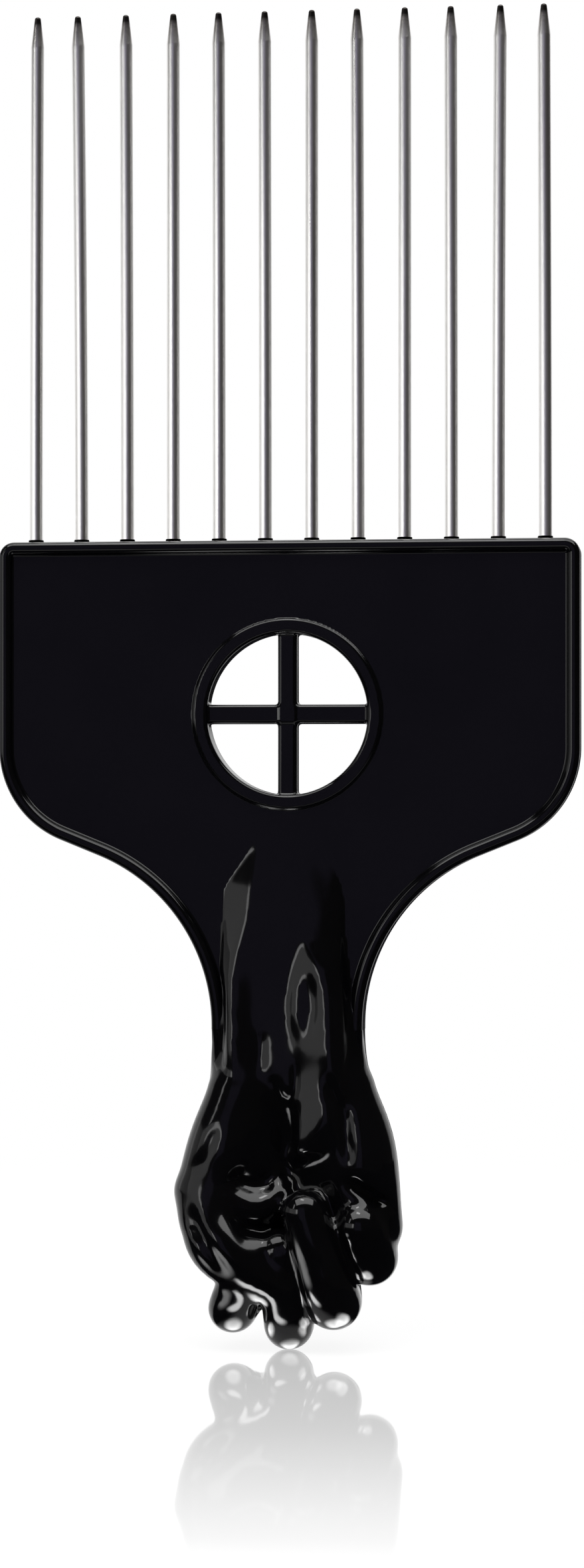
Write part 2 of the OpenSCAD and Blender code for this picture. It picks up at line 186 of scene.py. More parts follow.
def smooth_chain(chain, steps=8):
    """A limb's chain in mm, rounded at its bends, as centres and radii."""
    nodes = np.array(chain) * (FIST_W, FIST_T, WRIST_Z, FIST_W)
    if len(nodes) == 2:
        return nodes
    ends = np.concatenate([[2 * nodes[0] - nodes[1]], nodes, [2 * nodes[-1] - nodes[-2]]])
    out = []
    for i in range(1, len(ends) - 2):
        a, b, c, d = ends[i - 1:i + 3]
        for t in np.arange(steps) / steps:
            out.append(0.5 * (2 * b + (c - a) * t + (2 * a - 5 * b + 4 * c - d) * t ** 2
                              + (3 * b - a - 3 * c + d) * t ** 3))
    out.append(ends[-2])
    return np.array(out)


def limb_gap(p, nodes):
    """Distance from points to a limb."""
    out = np.full(len(p), np.inf)
    for a, b in zip(nodes[:-1], nodes[1:]):
        run = b[:3] - a[:3]
        along = np.clip((p - a[:3]) @ run / (run @ run), 0, 1)
        off = p - a[:3] - along[:, None] * run
        out = np.minimum(out, np.linalg.norm(off, axis=1) - (a[3] + (b[3] - a[3]) * along))
    return out


def soft_min(a, b, blend):
    """Union of two solids, blended over a width."""
    near = np.maximum(blend - np.abs(a - b), 0) / blend
    return np.minimum(a, b) - near ** 3 * blend / 6


def round_join(a, b, r):
    """Union of two solids with a hollow fillet of radius r between them."""
    return np.maximum(r, np.minimum(a, b)) - np.hypot(np.maximum(r - a, 0), np.maximum(r - b, 0))


def round_box(u, v, half_u, half_v, r):
    """Distance to a bar of rounded section about the origin."""
    qu, qv = np.abs(u) - half_u + r, np.abs(v) - half_v + r
    return np.minimum(np.maximum(qu, qv), 0) + np.hypot(np.maximum(qu, 0), np.maximum(qv, 0)) - r


def softened(grid, axis):
    """The grid, smoothed along one axis."""
    wide = RELIEF_SOFT[axis]
    reach = int(3 * wide / RELIEF_CELL)
    kernel = np.exp(-(np.arange(-reach, reach + 1) * RELIEF_CELL / wide) ** 2 / 2)
    kernel /= kernel.sum()
    pads = [(0, 0), (0, 0)]
    pads[axis] = (reach, reach)
    return np.apply_along_axis(lambda line: np.convolve(line, kernel, "valid"), axis,
                               np.pad(grid, pads, mode="edge"))


def relief_grid():
    """The forearm's relief on a fine grid in X and Z, with softened edges."""
    xs, zs = (np.arange(lo, hi + RELIEF_CELL / 2, RELIEF_CELL)
              for lo, hi in zip(RELIEF_LO, RELIEF_HI))
    levels = np.array([z for z, row in RELIEF])[::-1]
    net = np.array([row for z, row in RELIEF])[::-1]
    grid = np.empty((len(xs), len(zs)))
    for j, z in enumerate(zs):
        row = [[np.interp(z, levels, net[:, c, k]) for k in (0, 1)] for c in range(net.shape[1])]
        grid[:, j] = np.interp(xs, *np.transpose(row))
    x, z, half_x, half_z = OVAL
    within = ((xs[:, None] - x) / half_x) ** 2 + ((zs - z) / half_z) ** 2 < 1
    grid = np.where(within, grid[np.searchsorted(xs, x)], grid)
    return softened(softened(grid, 0), 1)


RELIEF_GRID = relief_grid()


def relief_gap(p):
    """Distance from points to the relief, which fills the front half of the arm."""
    spot = (p[:, [0, 2]] - RELIEF_LO) / RELIEF_CELL
    spot = np.clip(spot, 0, np.array(RELIEF_GRID.shape) - 1.001)
    i, j = spot.astype(int).T
    u, v = (spot - spot.astype(int)).T
    height = (RELIEF_GRID[i, j] * (1 - u) * (1 - v) + RELIEF_GRID[i + 1, j] * u * (1 - v)
              + RELIEF_GRID[i, j + 1] * (1 - u) * v + RELIEF_GRID[i + 1, j + 1] * u * v)
    return np.maximum(RELIEF_SLOPE * (-p[:, 1] - PANEL_Y - height), p[:, 1])


def mark_height(p, points, width, depth):
    """How deep a fold of the palm is at each point; it fades out at both ends of
    its line, and towards the sides of the hand."""
    out = np.zeros(len(p))
    points = np.array(points, float)
    lo, hi = points.min(0) - 3 * width, points.max(0) + 3 * width
    near = ((p[:, 0] > lo[0]) & (p[:, 0] < hi[0]) & (p[:, 2] > lo[1]) & (p[:, 2] < hi[1])
            & (p[:, 1] < 0))
    if not near.any():
        return out
    q = p[near][:, [0, 2]]
    lengths = np.linalg.norm(np.diff(points, axis=0), axis=1)
    reach, best, where = lengths.sum(), np.full(len(q), np.inf), np.zeros(len(q))
    before = 0.0
    for a, b, length in zip(points[:-1], points[1:], lengths):
        along = np.clip((q - a) @ (b - a) / length ** 2, 0, 1)
        gap = np.linalg.norm(q - a - along[:, None] * (b - a), axis=1)
        closer = gap < best
        best = np.where(closer, gap, best)
        where = np.where(closer, (before + along * length) / reach, where)
        before += length
    fade = np.clip(np.minimum(where, 1 - where) / MARK_FADE, 0, 1)
    fade = MARK_END + (1 - MARK_END) * fade * fade * (3 - 2 * fade)
    front = np.clip(-p[near][:, 1] / MARK_Y, 0, 1)
    out[near] = depth * fade * front * np.exp(-(best / width) ** 2)
    return out


LIMB_FORMS = [(smooth_chain(chain), blend * FIST_W * BLEND_REACH)
              for blend, chain in LIMBS.values()]


def hand_gap(p):
    """Distance from points to the hand and forearm."""
    out = np.full(len(p), FIST_W)
    for nodes, blend in LIMB_FORMS:
        reach = nodes[:, 3].max() + blend + LIMB_MARGIN
        near = ((p > nodes[:, :3].min(0) - reach) & (p < nodes[:, :3].max(0) + reach)).all(1)
        if near.any():
            out[near] = soft_min(out[near], limb_gap(p[near], nodes), blend)
    near = (p[:, 2] > RELIEF_LO[1]) & (p[:, 1] < 2)
    out[near] = soft_min(out[near], relief_gap(p[near]), RELIEF_BLEND)
    for points, width, depth in MARKS:
        out = out + mark_height(p, points, width, depth)
    return out


def neck_plate_gap(p, end=WRIST_Z - RUNOUT):
    """The plate near the neck and wrist, down to a height: rim, panel and the
    fillet between. Below the wrist the rim sinks into the hand."""
    x, y, z = np.abs(p[:, 0]), p[:, 1], p[:, 2]
    inward = np.where(z >= WRIST_Z, np.hypot(x - NECK_C[0], z - NECK_C[1]) - NECK_R,
                      WRIST_W / 2 - x)
    sunk = RUNOUT_SINK * np.clip((SHEET_END - z) / (SHEET_END - WRIST_Z + RUNOUT), 0, 1)
    rim = round_box(inward - RIM_W / 2, y, RIM_W / 2, RIM_Y - sunk, RIM_ROUND)
    panel = np.maximum(np.abs(y) - PANEL_Y, RIM_W / 2 - inward)
    return np.maximum(round_join(rim, panel, RIM_FOOT), end - z)


def neck_sheet_gap(p):
    """The part of the plate that rim_and_panel makes."""
    return neck_plate_gap(p, SHEET_END)


def hand_field(p):
    """The hand, joined to the plate by a fillet that is smallest at the sides and
    largest where the rim runs out."""
    fillet = (FILLET + FACE_FILLET * np.clip((np.abs(p[:, 1]) - FACE_FROM) / FACE_RUN, 0, 1)
              + END_FILLET * np.clip((SHEET_END - p[:, 2]) / END_RUN, 0, 1))
    return round_join(hand_gap(p), neck_plate_gap(p) + SINK, fillet)


def window_plate_gap(p):
    """The panel outside the middle of the window's ring."""
    return np.maximum(np.abs(p[:, 1]) - PANEL_Y,
                      WINDOW_R + RING_W / 2 - np.hypot(p[:, 0], p[:, 2] - WINDOW_Z))


def window_field(p):
    """The window's ring and bars on the panel, with their fillets."""
    x, y, z = p[:, 0], p[:, 1], p[:, 2] - WINDOW_Z
    r = np.hypot(x, z)
    middle = WINDOW_R + RING_W / 2
    ring = round_box(r - middle, y, RING_W / 2, RING_Y, SMALL_ROUND)
    upright = np.maximum(round_box(x, y, BAR_HALF, BAR_Y, SMALL_ROUND), np.abs(z) - middle)
    level = np.maximum(round_box(z, y, BAR_HALF, BAR_Y, SMALL_ROUND), np.abs(x) - middle)
    bars = round_join(upright, level, BAR_FILLET)
    panel = np.maximum(np.abs(y) - PANEL_Y + SINK, middle - r)
    return round_join(round_join(ring, bars, BAR_FILLET), panel, RING_FOOT)


def gradient(field, p, step=0.01):
    out = np.empty_like(p)
    for k in range(3):
        d = np.zeros(3)
        d[k] = step
        out[:, k] = (field(p + d) - field(p - d)) / (2 * step)
    return out


def unit(v):
    return v / np.maximum(np.linalg.norm(v, axis=-1, keepdims=True), 1e-9)


def sampled(field, lo, hi, h, block=5, batch=200000):
    """The field on a grid, worked out in full only in the blocks whose middle is
    near enough to the surface, and batch by batch."""
    lo = np.array(lo, float)
    blocks = np.ceil((np.array(hi) - lo) / (h * block)).astype(int)
    size = h * block
    mids = [lo[k] + size * (np.arange(blocks[k]) + 0.5) for k in range(3)]
    centres = np.stack(np.meshgrid(*mids, indexing="ij"), -1).reshape(-1, 3)
    rough = field(centres).reshape(blocks)
    near = np.abs(rough) < size * 1.05
    values = np.ones(blocks * block + 1)
    inside = np.repeat(np.repeat(np.repeat(rough < 0, block, 0), block, 1), block, 2)
    values[:-1, :-1, :-1][inside] = -1
    wanted = np.zeros(values.shape, bool)
    fine = np.repeat(np.repeat(np.repeat(near, block, 0), block, 1), block, 2)
    for dx in (0, 1):
        for dy in (0, 1):
            for dz in (0, 1):
                wanted[dx:dx + fine.shape[0], dy:dy + fine.shape[1], dz:dz + fine.shape[2]] |= fine
    where = np.argwhere(wanted)
    got = np.empty(len(where))
    for i in range(0, len(where), batch):
        got[i:i + batch] = field(lo + h * where[i:i + batch])
    values[wanted] = got
    return lo, values


def skin(field, lo, hi, h):
    """A smooth quad skin of the field's surface: points, quads and normals."""
    lo, v = sampled(field, lo, hi, h)
    inside = v < 0
    cells = np.array(v.shape) - 1
    corners = [(i, j, k) for i in (0, 1) for j in (0, 1) for k in (0, 1)]

    def part(a, c, shape):
        return a[c[0]:c[0] + shape[0], c[1]:c[1] + shape[1], c[2]:c[2] + shape[2]]

    count = sum(part(inside, c, cells).astype(int) for c in corners)
    mixed = (count > 0) & (count < 8)
    cell_index = np.full(cells, -1)
    where = np.argwhere(mixed)
    cell_index[mixed] = np.arange(len(where))
    total, crossings = np.zeros((len(where), 3)), np.zeros(len(where))
    values = [part(v, c, cells)[mixed] for c in corners]
    for a, ca in enumerate(corners):
        for b, cb in enumerate(corners):
            if b > a and sum(abs(ca[k] - cb[k]) for k in range(3)) == 1:
                va, vb = values[a], values[b]
                cross = (va < 0) != (vb < 0)
                t = np.where(cross, va / np.where(cross, va - vb, 1), 0)
                spot = np.array(ca) + t[:, None] * (np.array(cb) - np.array(ca))
                total += np.where(cross[:, None], spot, 0)
                crossings += cross
    points = lo + h * (where + total / crossings[:, None])
    quads = []
    for axis in range(3):
        step = [0, 0, 0]
        step[axis] = 1
        shape = [n - s for n, s in zip(v.shape, step)]
        start, end = part(inside, (0, 0, 0), shape), part(inside, step, shape)
        edges = np.argwhere(start != end)
        u, w = [k for k in range(3) if k != axis]
        edges = edges[(edges[:, u] > 0) & (edges[:, w] > 0)
                      & (edges[:, u] < cells[u]) & (edges[:, w] < cells[w])]
        ring = []
        for du, dw in ((-1, -1), (0, -1), (0, 0), (-1, 0)):
            c = edges.copy()
            c[:, u] += du
            c[:, w] += dw
            ring.append(cell_index[c[:, 0], c[:, 1], c[:, 2]])
        ring = np.stack(ring, 1)
        leaving = start[edges[:, 0], edges[:, 1], edges[:, 2]]
        flip = leaving if axis == 1 else ~leaving
        ring[flip] = ring[flip][:, ::-1]
        quads.append(ring[(ring >= 0).all(1)])
    quads = np.concatenate(quads)
    # Two of Newton's steps bring the points on to the surface. The bounds keep
    # them short where blends make the gradient small.
    for _ in range(2):
        g = gradient(field, points)
        step = field(points) / np.maximum((g * g).sum(1), 0.2)
        points = points - np.clip(step, -h / 2, h / 2)[:, None] * g
    return points, quads, unit(gradient(field, points))


def neighbour_mean(values, quads):
    """The mean of each point's values with those of the points next to it."""
    ends = np.concatenate([quads[:, [k, (k + 1) % 4]] for k in range(4)])
    count = 2 + np.bincount(ends.ravel(), minlength=len(values))
    out = 2 * values
    for k in range(values.shape[1]):
        out[:, k] += np.bincount(ends[:, 0], values[ends[:, 1], k], len(values))
        out[:, k] += np.bincount(ends[:, 1], values[ends[:, 0], k], len(values))
    return out / count[:, None]


def on_plate(made, plate_gap, polish=0):
    """Drops what dips under the plain plate, and eases the normals there.
    Polish evens out the skin's small facets above it."""
    points, quads, normals = made
    height = plate_gap(points)
    for _ in range(polish):
        normals = unit(neighbour_mean(normals, quads))
    ease = np.clip((height + SINK) / EASE, 0, 1)[:, None]
    ease = ease * ease * (3 - 2 * ease)
    normals = unit(normals * ease + unit(gradient(plate_gap, points)) * (1 - ease))
    # A quad goes when all its points lie at the full depth, or nearly
    quads = quads[(height[quads] > -SINK * 0.9).any(1)]
    used = np.unique(quads)
    index = np.full(len(points), -1)
    index[used] = np.arange(len(used))
    return points[used], index[quads], normals[used]


def rounded(corners, radii, steps=7):
    """An open profile with rounded corners, as points and outward normals (to
    the left of the way along it)."""
    corners = [np.array(c, float) for c in corners]
    points, normals = [], []

    def left(d):
        return np.array([-d[1], d[0]])

    ways = [unit(b - a) for a, b in zip(corners[:-1], corners[1:])]
    points.append(corners[0])
    normals.append(left(ways[0]))
    for i in range(1, len(corners) - 1):
        a, b, r = ways[i - 1], ways[i], radii[i]
        turn = math.atan2(a[0] * b[1] - a[1] * b[0], a @ b)
        back = r * math.tan(abs(turn) / 2)
        centre = corners[i] - back * a + math.copysign(r, turn) * left(a)
        for k in range(steps + 1):
            t = turn * k / steps
            n = np.array([left(a)[0] * math.cos(t) - left(a)[1] * math.sin(t),
                          left(a)[0] * math.sin(t) + left(a)[1] * math.cos(t)])
            points.append(centre - math.copysign(r, turn) * n)
            normals.append(n)
    points.append(corners[-1])
    normals.append(left(ways[-1]))
    return np.array(points), np.array(normals)


def outline():
    """The handle's outline in X and Z from the left wrist round to the right
    one, as points and inward directions."""
    half = [(np.array([WRIST_W / 2, SHEET_END]), np.array([-1.0, 0.0]))]
    for a in np.linspace(math.pi, math.pi / 2 + NECK_SLOPE, NECK_STEPS):
        way = np.array([math.cos(a), math.sin(a)])
        half.append((NECK_C + NECK_R * way, way))
    for a in np.linspace(NECK_SLOPE - math.pi / 2, 0, SHOULDER_STEPS):
        way = np.array([math.cos(a), math.sin(a)])
        half.append((SHOULDER_C + SHOULDER_R * way, -way))
    corner = np.array([PLATE_W / 2 - CORNER_R, HANDLE_H - CORNER_R])
    for a in np.linspace(0, math.pi / 2, CORNER_STEPS):
        way = np.array([math.cos(a), math.sin(a)])
        half.append((corner + CORNER_R * way, -way))
    points = np.array([h[0] for h in half])
    inward = np.array([h[1] for h in half])
    flip = np.array([-1, 1])
    return (np.concatenate([points * flip, points[::-1]]),
            np.concatenate([inward * flip, inward[::-1]]))


def lattice(rows, columns, start=0, closed=False):
    """Quads of a sheet of points stored row by row."""
    i, j = np.meshgrid(np.arange(rows if closed else rows - 1), np.arange(columns - 1),
                       indexing="ij")
    a = (i * columns + j).ravel()
    b = ((i + 1) % rows * columns + j).ravel()
    return start + np.stack([a, b, b + 1, a + 1], 1)


def rim_and_panel():
    """The raised rim, swept round the outline, and both faces of the panel."""
    path, inward = outline()
    foot = RIM_W + RIM_FOOT
    r = RIM_ROUND
    profile, out = rounded(
        [(foot, -PANEL_Y), (RIM_W, -PANEL_Y), (RIM_W, -RIM_Y), (0, -RIM_Y),
         (0, RIM_Y), (RIM_W, RIM_Y), (RIM_W, PANEL_Y), (foot, PANEL_Y)],
        [0, RIM_HOLLOW, r, r, r, r, RIM_HOLLOW, 0])
    n, m = len(path), len(profile)
    flat = path[:, None, :] + profile[None, :, 0:1] * inward[:, None, :]
    points = np.empty((n, m, 3))
    points[..., 0], points[..., 2] = flat[..., 0], flat[..., 1]
    points[..., 1] = profile[None, :, 1]
    normals = np.empty((n, m, 3))
    across = out[None, :, 0:1] * inward[:, None, :]
    normals[..., 0], normals[..., 2] = across[..., 0], across[..., 1]
    normals[..., 1] = out[None, :, 1]
    verts, norms = [points.reshape(-1, 3)], [normals.reshape(-1, 3)]
    faces = [[int(v) for v in q] for q in lattice(n, m)]
    edge = [Vector(p) for p in flat[:, 0]]
    hole_r = WINDOW_R + RING_W / 2
    hole = [Vector((hole_r * math.cos(a), WINDOW_Z + hole_r * math.sin(a)))
            for a in np.linspace(0, 2 * math.pi, HOLE_TURNS, endpoint=False)]
    flats, _, tris, _, _, _ = geometry.delaunay_2d_cdt(
        edge + hole, [], [list(range(n)), list(range(n, n + HOLE_TURNS))[::-1]], 1, 1e-5)
    xz = np.array([list(p) for p in flats])
    start = n * m
    for side in (-1, 1):
        verts.append(np.stack([xz[:, 0], np.full(len(xz), side * PANEL_Y), xz[:, 1]], 1))
        norms.append(np.tile([0.0, side, 0.0], (len(xz), 1)))
        for t in tris:
            middle = xz[list(t)].mean(0)
            # The hole's triangles go; any left at its very edge lie inside the ring
            if math.hypot(middle[0], middle[1] - WINDOW_Z) < hole_r - 0.05:
                continue
            a, b, c = xz[list(t)]
            turn = (b[0] - a[0]) * (c[1] - a[1]) - (b[1] - a[1]) * (c[0] - a[0])
            order = list(t) if (turn > 0) == (side < 0) else list(t)[::-1]
            faces.append([start + int(k) for k in order])
        start += len(xz)
    return np.concatenate(verts), faces, np.concatenate(norms)


def revolved(profile, out, centre, turns=32, bow=None):
    """A profile of radius and height, turned about an upright axis."""
    a = np.linspace(0, 2 * math.pi, turns, endpoint=False)
    ring = np.stack([np.cos(a), np.sin(a)], 1)
    points = np.empty((turns, len(profile), 3))
    points[..., :2] = ring[:, None, :] * profile[None, :, 0:1]
    points[..., 2] = profile[None, :, 1]
    normals = np.empty_like(points)
    normals[..., :2] = ring[:, None, :] * out[None, :, 0:1]
    normals[..., 2] = out[None, :, 1]
    points[..., 0] += centre
    if bow is not None:
        points[..., 0] += bow(profile[None, :, 1])
    faces = [[int(v) for v in q] for q in lattice(turns, len(profile), closed=True)]
    return points.reshape(-1, 3), faces, normals.reshape(-1, 3)


def tine_x(i):
    """Where a tine stands, from the left."""
    return (i - (TINES - 1) / 2) * (PLATE_W - 2 * TINE_MARGIN) / (TINES - 1)


def collar(i):
    """The small moulded flare at the root of a tine."""
    foot, lip = TINE_R + COLLAR_FLARE, TINE_R + COLLAR_LIP
    profile, out = rounded(
        [(foot + FOOT_SPREAD, HANDLE_H - FOOT_DIP), (lip + WAIST_OUT, HANDLE_H + WAIST_UP),
         (lip, HANDLE_H + COLLAR_H), (TINE_R * 0.9, HANDLE_H + COLLAR_H)],
        [0, WAIST_ROUND, LIP_ROUND, 0], 5)
    return revolved(profile[::-1], -out[::-1], tine_x(i), 24)


def mesh_object(name, parts, material):
    """One smooth object of several skins, with their own normals."""
    verts, faces, normals, start = [], [], [], 0
    for points, quads, norms in parts:
        verts.append(points)
        normals.append(norms)
        faces += [[start + int(k) for k in q] for q in quads]
        start += len(points)
    mesh = bpy.data.meshes.new(name)
    mesh.from_pydata((np.concatenate(verts) * MM).tolist(), [], faces)
    mesh.polygons.foreach_set("use_smooth", [True] * len(mesh.polygons))
    mesh.update()
    mesh.normals_split_custom_set_from_vertices(np.concatenate(normals).tolist())
    mesh.materials.append(material)
    piece = bpy.data.objects.new(name, mesh)
    bpy.context.scene.collection.objects.link(piece)
    return piece


class Nodes:
    """A node tree, with short ways to add and join nodes."""

    def __init__(self, owner, out):
        owner.use_nodes = True
        self.tree = owner.node_tree
        self.tree.nodes.clear()
        self.out = self.add(out)

    def add(self, kind, **values):
        node = self.tree.nodes.new(kind)
        for key, value in values.items():
            if hasattr(node, key):
                setattr(node, key, value)
            else:
                node.inputs[key.replace("_", " ")].default_value = value
        return node

    def join(self, a, b):
        self.tree.links.new(a, b)

    def show(self, shader):
        self.join(shader.outputs[0], self.out.inputs["Surface"])

    def calc(self, operation, *values):
        """A sum with numbers, each a socket or a plain number."""
        node = self.add("ShaderNodeMath", operation=operation)
        for socket, value in zip(node.inputs, values):
            if isinstance(value, (int, float)):
                socket.default_value = value
            else:
                self.join(value, socket)
        return node.outputs[0]

    def dot(self, vector, way):
        node = self.add("ShaderNodeVectorMath", operation="DOT_PRODUCT")
        self.join(vector, node.inputs[0])
        node.inputs[1].default_value = way
        return node.outputs["Value"]

    def length(self, vector):
        node = self.add("ShaderNodeVectorMath", operation="LENGTH")
        self.join(vector, node.inputs[0])
        return node.outputs["Value"]

    def axes(self, vector):
        node = self.add("ShaderNodeSeparateXYZ")
        self.join(vector, node.inputs["Vector"])
        return node.outputs

    def eased(self, value, start, end, low=0.0, high=1.0):
        """From low to high while the value goes from start to end, with soft ends."""
        node = self.add("ShaderNodeMapRange", interpolation_type="SMOOTHSTEP", From_Min=start,
                        From_Max=end, To_Min=low, To_Max=high)
        self.join(value, node.inputs["Value"])
        return node.outputs["Result"]

    def ramp(self, source, stops):
        node = self.add("ShaderNodeValToRGB")
        line = node.color_ramp.elements
        while len(line) < len(stops):
            line.new(0.5)
        for spot, (at, value) in zip(line, stops):
            spot.position = at
            spot.color = (*value, 1) if isinstance(value, tuple) else (value, value, value, 1)
        self.join(source, node.inputs["Fac"])
        return node.outputs["Color"]

    def noise(self, coords, scale, detail=2.0, stretch=(1, 1, 1)):
        mapping = self.add("ShaderNodeMapping")
        mapping.inputs["Scale"].default_value = stretch
        self.join(coords, mapping.inputs["Vector"])
        node = self.add("ShaderNodeTexNoise", Scale=scale, Detail=detail)
        self.join(mapping.outputs["Vector"], node.inputs["Vector"])
        return node.outputs["Fac"]

    def bump(self, height, strength, distance):
        node = self.add("ShaderNodeBump", Strength=strength, Distance=distance)
        self.join(height, node.inputs["Height"])
        return node.outputs["Normal"]

    def blend(self, factor, a, b):
        """A mix of two colours, each a socket or a plain colour."""
        node = self.add("ShaderNodeMix", data_type="RGBA")
        self.join(factor, node.inputs["Factor"])
        for name, value in (("A", a), ("B", b)):
            if isinstance(value, tuple):
                node.inputs[name].default_value = (*value, 1)
            else:
                self.join(value, node.inputs[name])
        return node.outputs["Result"]

    def layered(self, factor, under, over):
        node = self.add("ShaderNodeMixShader")
        self.join(factor, node.inputs[0])
        self.join(under.outputs[0], node.inputs[1])
        self.join(over.outputs[0], node.inputs[2])
        return node


def black_plastic():
    material = bpy.data.materials.new("black_plastic")
    n = Nodes(material, "ShaderNodeOutputMaterial")
    coords = n.add("ShaderNodeTexCoord").outputs["Object"]
    shader = n.add("ShaderNodeBsdfPrincipled", Specular_IOR_Level=0.3, IOR=1.46)
    cloud = n.noise(coords, 90, 3)
    n.join(n.ramp(cloud, [(0.3, (0.0009, 0.0009, 0.0011)), (0.7, (0.0016, 0.0015, 0.0019))]),
           shader.inputs["Base Color"])
    n.join(n.ramp(n.noise(coords, 140, 5), [(0.35, 0.07), (0.7, 0.13)]),
           shader.inputs["Roughness"])
    n.join(n.bump(n.noise(coords, 700, 2), 0.04, 0.0001), shader.inputs["Normal"])
    n.show(shader)
    return material


def steel_wire():
    material = bpy.data.materials.new("steel_wire")
    n = Nodes(material, "ShaderNodeOutputMaterial")
    coords = n.add("ShaderNodeTexCoord").outputs["Object"]
    # Drawn wire: its fine lines run along it and spread reflections sideways
    shader = n.add("ShaderNodeBsdfPrincipled", Metallic=1.0, Anisotropic=0.8)
    n.join(n.add("ShaderNodeTangent", direction_type="RADIAL", axis="Z").outputs[0],
           shader.inputs["Tangent"])
    streaks = n.noise(coords, 900, 3, (1, 1, 0.02))
    tone = n.ramp(streaks, [(0.3, (0.84, 0.83, 0.81)), (0.7, (0.93, 0.92, 0.905))])
    ground = n.ramp(n.noise(coords, 2500, 2),
                    [(0.3, (0.32, 0.30, 0.29)), (0.7, (0.46, 0.44, 0.42))])
    # The taper is ground, and its very point is darkened with painted shade, each from one
    # height below the point, in mm, and in full from another
    for start, end, colour in ((TAPER + 0.3, 1.6, ground), (1.5, 0.8, (0.035, 0.032, 0.03))):
        zone = n.add("ShaderNodeMapRange", From_Min=(TIP_Z - start) * MM,
                     From_Max=(TIP_Z - end) * MM)
        n.join(n.axes(coords)["Z"], zone.inputs["Value"])
        tone = n.blend(zone.outputs["Result"], tone, colour)
    n.join(tone, shader.inputs["Base Color"])
    n.join(n.ramp(streaks, [(0.3, 0.27), (0.75, 0.37)]), shader.inputs["Roughness"])
    n.join(n.bump(streaks, 0.15, 0.00003), shader.inputs["Normal"])
    n.show(shader)
    return material


plastic, steel = black_plastic(), steel_wire()

hand = on_plate(skin(hand_field, *HAND_BOX, HAND_CELL), neck_sheet_gap, POLISH)
window = on_plate(skin(window_field, *WINDOW_BOX, WINDOW_CELL), window_plate_gap)
handle = mesh_object("handle_skin",
                     [rim_and_panel(), hand, window] + [collar(i) for i in range(TINES)], plastic)
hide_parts("handle")
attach(handle, "root")

# How far a tine's skin starts inside the handle, the heights above the handle and
# below the taper between which its shank has rings to bow at, how many, and the
# radius of the bend where the taper starts
TINE_START, RINGS_FROM, RINGS_TO, RINGS, TAPER_ROUND = 1.0, 3, 6, 14, 1.5
# The point's radius before it is rounded, and its sharp end on the axis
POINT_R, AXIS_R = TIP_R * 1.15, 0.001
# How far each tine's point leans in X, in mm, and the power of height by which
# the tine bows towards it
LEANS = (0.2, -0.5, -0.2, 0.0, -0.1, -0.1, 0.0, -0.15, 0.0, -0.1, 0.25, -0.2)
BOW = 1.6
shank = [(TINE_R, HANDLE_H - TINE_START)]
shank += [(TINE_R, z)
          for z in np.linspace(HANDLE_H + RINGS_FROM, TIP_Z - TAPER - RINGS_TO, RINGS)]
tip = [(TINE_R, TIP_Z - TAPER), (POINT_R, TIP_Z), (AXIS_R, TIP_Z)]
profile, out = rounded(shank + tip, [0] * len(shank) + [TAPER_ROUND, TIP_R, 0], 5)
for i, lean in enumerate(LEANS):

    def bow(z, lean=lean):
        return lean * np.clip((z - HANDLE_H) / TINE_REACH, 0, 1) ** BOW

    name = "tine_%02d" % (i + 1)
    piece = mesh_object("steel_" + name, [revolved(profile, -out, tine_x(i), 40, bow)], steel)
    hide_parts(name)
    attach(piece, "root")


def direction(azimuth, elevation=0):
    """A way from the object, in degrees. Azimuth 0 is in front of it, 90 to its
    right."""
    a, e = math.radians(azimuth), math.radians(elevation)
    return math.sin(a) * math.cos(e), -math.cos(a) * math.cos(e), math.sin(e)


# Stage: a white table with a faint gloss that shows the fist, in a white world.

# The size of the table, and its front edge, in metres
FLOOR_SIZE, FLOOR_FRONT = 4, -0.125
# The distances from the object, in metres, between which its shadow on the table
# fades, and how white the table is at the near one
SHADOW_RANGE, SHADOW_WHITE = (0.06, 0.22), 0.82
# The share of the table's light that is a reflection, by how low it is seen, and
# the width of its soft end at the front edge, in metres
GLOSS = [(0.76, 0.0), (0.777, 0.07), (0.7915, 0.19), (0.8025, 0.29), (0.814, 0.4), (0.837, 0.5),
         (0.85, 0.5), (0.875, 0.0)]
GLOSS_END = 0.02
# The azimuths of the studio's dark side and of the narrow dark gap behind the
# object, and half their widths to the end and the start of their soft edges
DARK_SIDES = ((20, math.radians(114) - 0.07, math.radians(114) + 0.07), (180, 0.16, 0.24))
# How far from the object, in metres, the dark sides start and are full on the table
DARK_FROM, DARK_FULL = 0.009, 0.012
# Small pools of light on the table that the knuckles and the thumb mirror: the
# middle and the reach in X and Y, in mm, and the radiance. A pool is full within
# a share of its reach.
POOL_FULL = 0.35
POOLS = [(-6.2, -4.6, 3.4, 3.6, 15), (0.9, -4.2, 2.2, 1.8, 9), (6.6, -4.8, 3.2, 3.2, 12),
         (9.9, -5.0, 3.6, 4.6, 15), (-5.2, -12.5, 7.5, 3.0, 24), (-24, -18, 14, 12, 6)]


